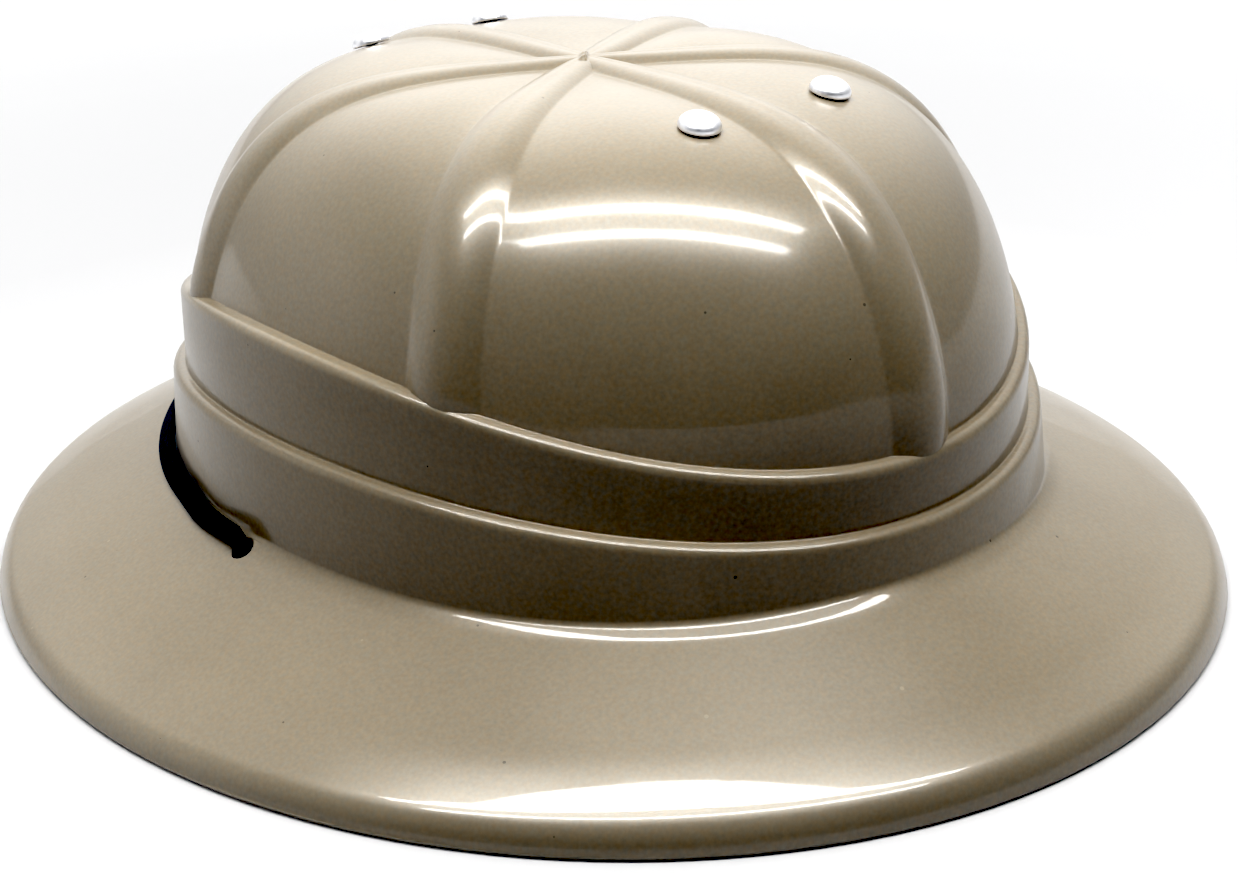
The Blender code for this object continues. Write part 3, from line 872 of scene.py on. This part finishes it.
def steel_material():
    """Polished plated steel with handling marks."""
    surface, tree, shader = new_material("polished_steel", {"Metallic": 1.0})
    tint = spread(tree, noise(tree, 900, 3.0), 0.3, 0.7, 0.0, 1.0)
    tree.links.new(blend(tree, tint, STEEL, scaled(STEEL, 0.9)), shader["Base Color"])
    tree.links.new(spread(tree, noise(tree, 700, 4.0), 0.35, 0.7, 0.3, 0.45), shader["Roughness"])
    dents = bump(tree, noise(tree, 330, 1.0), 0.04 * MM)
    tree.links.new(bump(tree, noise(tree, 2600, 2.0), 0.003 * MM, dents), shader["Normal"])
    return surface


def elastic_material():
    """Black braided elastic: threads cross over its rubber cords; its map counts metres."""
    surface, tree, shader = new_material("black_elastic", {"Specular IOR Level": 0.5})
    where = add_node(tree, "TexCoord").outputs["UV"]
    axes = add_node(tree, "SeparateXYZ", {0: where})
    turns = math_node(tree, "MULTIPLY", axes.outputs[0], math.tau / THREAD_PITCH)
    lean = math_node(tree, "MULTIPLY", axes.outputs[1], math.tau / THREAD_PITCH)
    right = math_node(tree, "SINE", math_node(tree, "ADD", turns, lean))
    left = math_node(tree, "SINE", math_node(tree, "SUBTRACT", turns, lean))
    weave = spread(tree, math_node(tree, "MAXIMUM", right, left), -1.0, 1.0, 0.0, 1.0)
    lint = spread(tree, noise(tree, 1500, 3.0), 0.35, 0.75, 0.0, 1.0)
    worn = math_node(tree, "MULTIPLY", weave, lint)
    tree.links.new(blend(tree, worn, ELASTIC, scaled(ELASTIC, 2.2)), shader["Base Color"])
    tree.links.new(spread(tree, noise(tree, 800, 3.0), 0.3, 0.7, 0.72, 0.95), shader["Roughness"])
    threads = bump(tree, weave, 0.12 * MM)
    tree.links.new(bump(tree, noise(tree, 3800, 2.0), 0.03 * MM, threads), shader["Normal"])
    return surface


def floor_material():
    """Plain pale paper; a glow that rises away from the helmet keeps it white there."""
    surface, tree, shader = new_material("pale_paper", {
        "Specular IOR Level": 0.1, "Emission Color": (1, 1, 1, 1)})
    away = add_node(tree, "VectorMath", {0: add_node(tree, "TexCoord").outputs["Object"]}, operation="LENGTH")
    near, far, glow = FLOOR_GLOW
    tree.links.new(spread(tree, away.outputs["Value"], near, far, 0.0, glow), shader["Emission Strength"])
    tone = spread(tree, noise(tree, 2.5, 3.0), 0.3, 0.7, 0.0, 1.0)
    tree.links.new(blend(tree, tone, (0.755, 0.755, 0.76), (0.765, 0.765, 0.77)), shader["Base Color"])
    tree.links.new(spread(tree, noise(tree, 300, 2.0), 0.3, 0.7, 0.85, 0.95), shader["Roughness"])
    tree.links.new(bump(tree, noise(tree, 900, 3.0), 0.01 * MM), shader["Normal"])
    return surface


# ---- light, floor and camera -----------------------------------------------------------------------
PHOTO_WIDTH = 1238
FOCAL_PIXELS = 2227.46
CAMERA_AZIMUTH = math.radians(-39.42)
CAMERA_ELEVATION = math.radians(22.80)
CAMERA_ROLL = math.radians(-1.56)
CAMERA_DISTANCE = 590.29 * MM
CAMERA_RIGHT = 5.47 * MM             # the camera's sideways and upward shift off the line to the middle
CAMERA_UP = 23.0 * MM
SENSOR = 36.0
TOWARD = Vector((math.sin(CAMERA_AZIMUTH), -math.cos(CAMERA_AZIMUTH), 0))   # level, to the camera
ACROSS = Vector((math.cos(CAMERA_AZIMUTH), math.sin(CAMERA_AZIMUTH), 0))    # level, to the photo's right


def add_camera():
    e, r = CAMERA_ELEVATION, CAMERA_ROLL
    back = TOWARD * math.cos(e) + Vector((0, 0, math.sin(e)))
    up = back.cross(ACROSS)
    x_axis = math.cos(r) * ACROSS + math.sin(r) * up
    y_axis = -math.sin(r) * ACROSS + math.cos(r) * up
    data = bpy.data.cameras.new("camera")
    data.sensor_width = SENSOR
    data.lens = SENSOR * FOCAL_PIXELS / PHOTO_WIDTH
    data.clip_start = 0.01
    camera = bpy.data.objects.new("camera", data)
    bpy.context.scene.collection.objects.link(camera)
    at = back * CAMERA_DISTANCE + ACROSS * CAMERA_RIGHT + up * CAMERA_UP
    camera.matrix_world = Matrix.Translation(at) @ Matrix((x_axis, y_axis, back)).transposed().to_4x4()
    bpy.context.scene.camera = camera


TUBES = (
    # name, middle (toward the camera, to the right, up), radiance, lights diffusely
    ("tube_back_glare", (0.145, 0.07, 0.76), 50.0, False),
    ("tube_back_light", (0.145, 0.07, 0.76), 33.5, True),
    ("tube_front_glare", (0.330, 0.07, 0.76), 50.0, False),
)
TUBE_SIZE = (0.985, 0.06)
SKY_LOBES = (
    # azimuth from the camera's side, positive to the right, elevation, radiance
    (90, 10, 0.25), (180, 10, 1.05), (-90, 10, 1.15), (135, 37, 1.2), (180, 37, 1.5), (-135, 37, 0.9),
    (-144, 64, 0.6),
)
LOBE_SHARPNESS = 8.0
GROUND_BOUNCE = 0.45                 # light from below, which stands for the floor's
GROUND_HEIGHTS = (-0.05, -0.3)       # from none to all of it, by the ray's downward part
BACKDROP = 1.2                       # what the camera sees behind the floor
BLACK_LEVEL = (0.109, 0.098, 0.080)


def add_tube(name, middle, radiance, diffuse):
    """A long lamp that either lights matt surfaces or shows in glossy ones."""
    toward, across, height = middle
    data = bpy.data.lights.new(name, "AREA")
    data.shape = "RECTANGLE"
    data.size, data.size_y = TUBE_SIZE
    data.energy = radiance * math.pi * TUBE_SIZE[0] * TUBE_SIZE[1]
    light = bpy.data.objects.new(name, data)
    bpy.context.scene.collection.objects.link(light)
    up = Vector((0, 0, 1))
    turn = Matrix((ACROSS, up.cross(ACROSS), up)).transposed()
    light.matrix_world = Matrix.Translation(TOWARD * toward + ACROSS * across + up * height) @ turn.to_4x4()
    light.visible_camera = False
    light.visible_diffuse = diffuse
    light.visible_glossy = not diffuse


def add_world():
    """Pale surroundings as a sum of soft lobes, a weak light from the floor, and white for the camera."""
    world = bpy.data.worlds.new("studio")
    bpy.context.scene.world = world
    world.use_nodes = True
    tree = world.node_tree
    background = tree.nodes["Background"]
    coordinates = add_node(tree, "TexCoord").outputs["Generated"]
    ray = add_node(tree, "VectorMath", {0: coordinates}, operation="NORMALIZE").outputs[0]
    total = None
    for azimuth, elevation, radiance in SKY_LOBES:
        a, e = math.radians(azimuth), math.radians(elevation)
        axis = (TOWARD * math.cos(a) + ACROSS * math.sin(a)) * math.cos(e) + Vector((0, 0, math.sin(e)))
        near = add_node(tree, "VectorMath", {0: ray, 1: axis}, operation="DOT_PRODUCT").outputs["Value"]
        power = math_node(tree, "MULTIPLY_ADD", near, LOBE_SHARPNESS, -LOBE_SHARPNESS)
        lobe = math_node(tree, "EXPONENT", power)
        total = math_node(tree, "MULTIPLY_ADD", lobe, radiance, total if total else 0.0)
    height = add_node(tree, "SeparateXYZ", {0: ray}).outputs["Z"]
    above = math_node(tree, "GREATER_THAN", height, 0.0)
    below = spread(tree, height, *GROUND_HEIGHTS, 0.0, GROUND_BOUNCE)
    seen = math_node(tree, "MULTIPLY_ADD", total, above, below)
    camera_ray = add_node(tree, "LightPath").outputs["Is Camera Ray"]
    strength = add_node(tree, "MapRange", {"Value": camera_ray, "To Min": seen, "To Max": BACKDROP})
    tree.links.new(strength.outputs[0], background.inputs["Strength"])
    background.inputs["Color"].default_value = (1, 1, 1, 1)


def set_tone():
    """The photo's hard contrast: its darkest tones fall to black."""
    view = bpy.context.scene.view_settings
    view.view_transform = "Standard"
    view.use_curve_mapping = True
    view.curve_mapping.black_level = BLACK_LEVEL
    view.curve_mapping.update()


def add_floor():
    """The pale floor shows in the helmet's gloss; its soft light from below comes from the world instead."""
    mesh = bmesh.new()
    bmesh.ops.create_grid(mesh, x_segments=1, y_segments=1, size=FLOOR_REACH)
    floor = add_mesh("floor", mesh, floor_material())
    floor.visible_diffuse = False
    floor.visible_shadow = False


add_camera()
add_world()
add_floor()
for tube in TUBES:
    add_tube(*tube)
set_tone()

plastic = plastic_material()
steel = steel_material()
elastic = elastic_material()
shell = dress(add_mesh("shell", shell_mesh(), plastic), "shell_plastic", "helmet_shell")
drill(shell, add_mesh("bores", bores()))
for name, x, y in RIVETS:
    dress(add_mesh(name + "_dome", rivet_mesh(x, y), steel, RIVET_CREASE), "rivet_metal", name)
path = strap_path()
strap = dress(add_mesh("strap", strap_mesh(path), elastic, STRAP_CREASE), "strap_elastic", "chin_strap")
for side, name in ((-1, "strap_knot_left"), (1, "strap_knot_right")):
    centre = strap_hole(side) - Vector((0, 0, KNOT_DROP))
    dress(add_mesh(name + "_tied", knot_mesh(centre, side), elastic), "strap_elastic", name)
